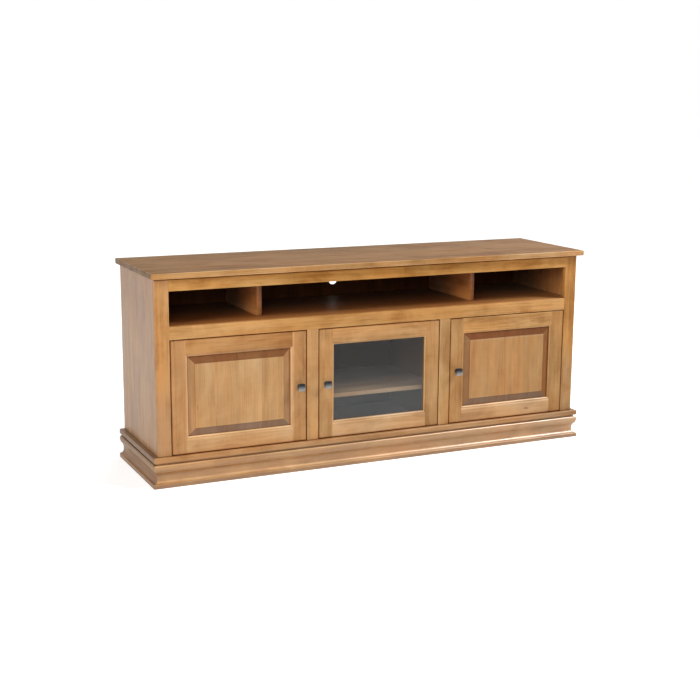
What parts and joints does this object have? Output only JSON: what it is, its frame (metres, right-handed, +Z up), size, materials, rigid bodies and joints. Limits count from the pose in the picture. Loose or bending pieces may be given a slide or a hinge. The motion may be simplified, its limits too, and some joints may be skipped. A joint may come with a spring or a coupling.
{
  "type": "television stand",
  "caption": "Low wide wooden media cabinet with open bays above inset doors, a smoked glass door in the middle, raised panel doors beside it, and a moulded plinth.",
  "frame": {"origin": "on the floor, under the middle of the cabinet's outline", "axes": "+Z up, the doors face -Y, +X to the right of someone who faces the doors"},
  "size_m": [1.838, 0.483, 0.7885],
  "materials": {
    "catch_plastic": "matte",
    "dark_pewter": "satin",
    "hidden_wood": "matte",
    "maple": "satin",
    "maple_plywood": "satin",
    "smoked_glass": "polished",
    "steel": "satin"
  },
  "bodies": {
    "cabinet": {"back_panel": "maple_plywood", "base_back": "hidden_wood", "base_front": "maple", "base_ledgers": "hidden_wood", "base_left": "maple", "base_right": "maple", "bottom_panel": "maple", "cap_front": "maple", "cap_left": "maple", "cap_right": "maple", "centre_shelf": "maple", "left_divider": "maple", "left_mullion": "maple", "left_partition": "maple", "left_shelf": "maple", "left_side_panel": "maple", "left_stile": "maple", "magnetic_catches": "catch_plastic", "middle_deck": "maple", "middle_rail": "maple", "pivot_pins": "steel", "rear_nailer": "hidden_wood", "right_divider": "maple", "right_mullion": "maple", "right_partition": "maple", "right_shelf": "maple", "right_side_panel": "maple", "right_stile": "maple", "shelf_pins": "steel", "top_board": "maple", "top_cleats": "hidden_wood", "top_rail": "maple"},
    "left_door": {"left_door_bottom_rail": "maple", "left_door_hinge_stile": "maple", "left_door_knob": "dark_pewter", "left_door_knob_screw": "steel", "left_door_knob_stile": "maple", "left_door_panel": "maple", "left_door_pivot_bushes": "steel", "left_door_strike_plate": "steel", "left_door_top_rail": "maple"},
    "centre_door": {"centre_door_bottom_rail": "maple", "centre_door_glass": "smoked_glass", "centre_door_glass_beads": "maple", "centre_door_hinge_stile": "maple", "centre_door_knob": "dark_pewter", "centre_door_knob_screw": "steel", "centre_door_knob_stile": "maple", "centre_door_pivot_bushes": "steel", "centre_door_strike_plate": "steel", "centre_door_top_rail": "maple"},
    "right_door": {"right_door_bottom_rail": "maple", "right_door_hinge_stile": "maple", "right_door_knob": "dark_pewter", "right_door_knob_screw": "steel", "right_door_knob_stile": "maple", "right_door_panel": "maple", "right_door_pivot_bushes": "steel", "right_door_strike_plate": "steel", "right_door_top_rail": "maple"}
  },
  "joints": [
    {"name": "left_door_hinge", "type": "hinge", "parent": "cabinet", "child": "left_door", "pos_m": [-0.8175, -0.202, 0.328], "axis": [0, 0, -1], "range_deg": [0, 105]},
    {"name": "centre_door_hinge", "type": "hinge", "parent": "cabinet", "child": "centre_door", "pos_m": [0.2345, -0.202, 0.328], "axis": [0, 0, 1], "range_deg": [0, 105]},
    {"name": "right_door_hinge", "type": "hinge", "parent": "cabinet", "child": "right_door", "pos_m": [0.8175, -0.202, 0.328], "axis": [0, 0, 1], "range_deg": [0, 105]}
  ]
}
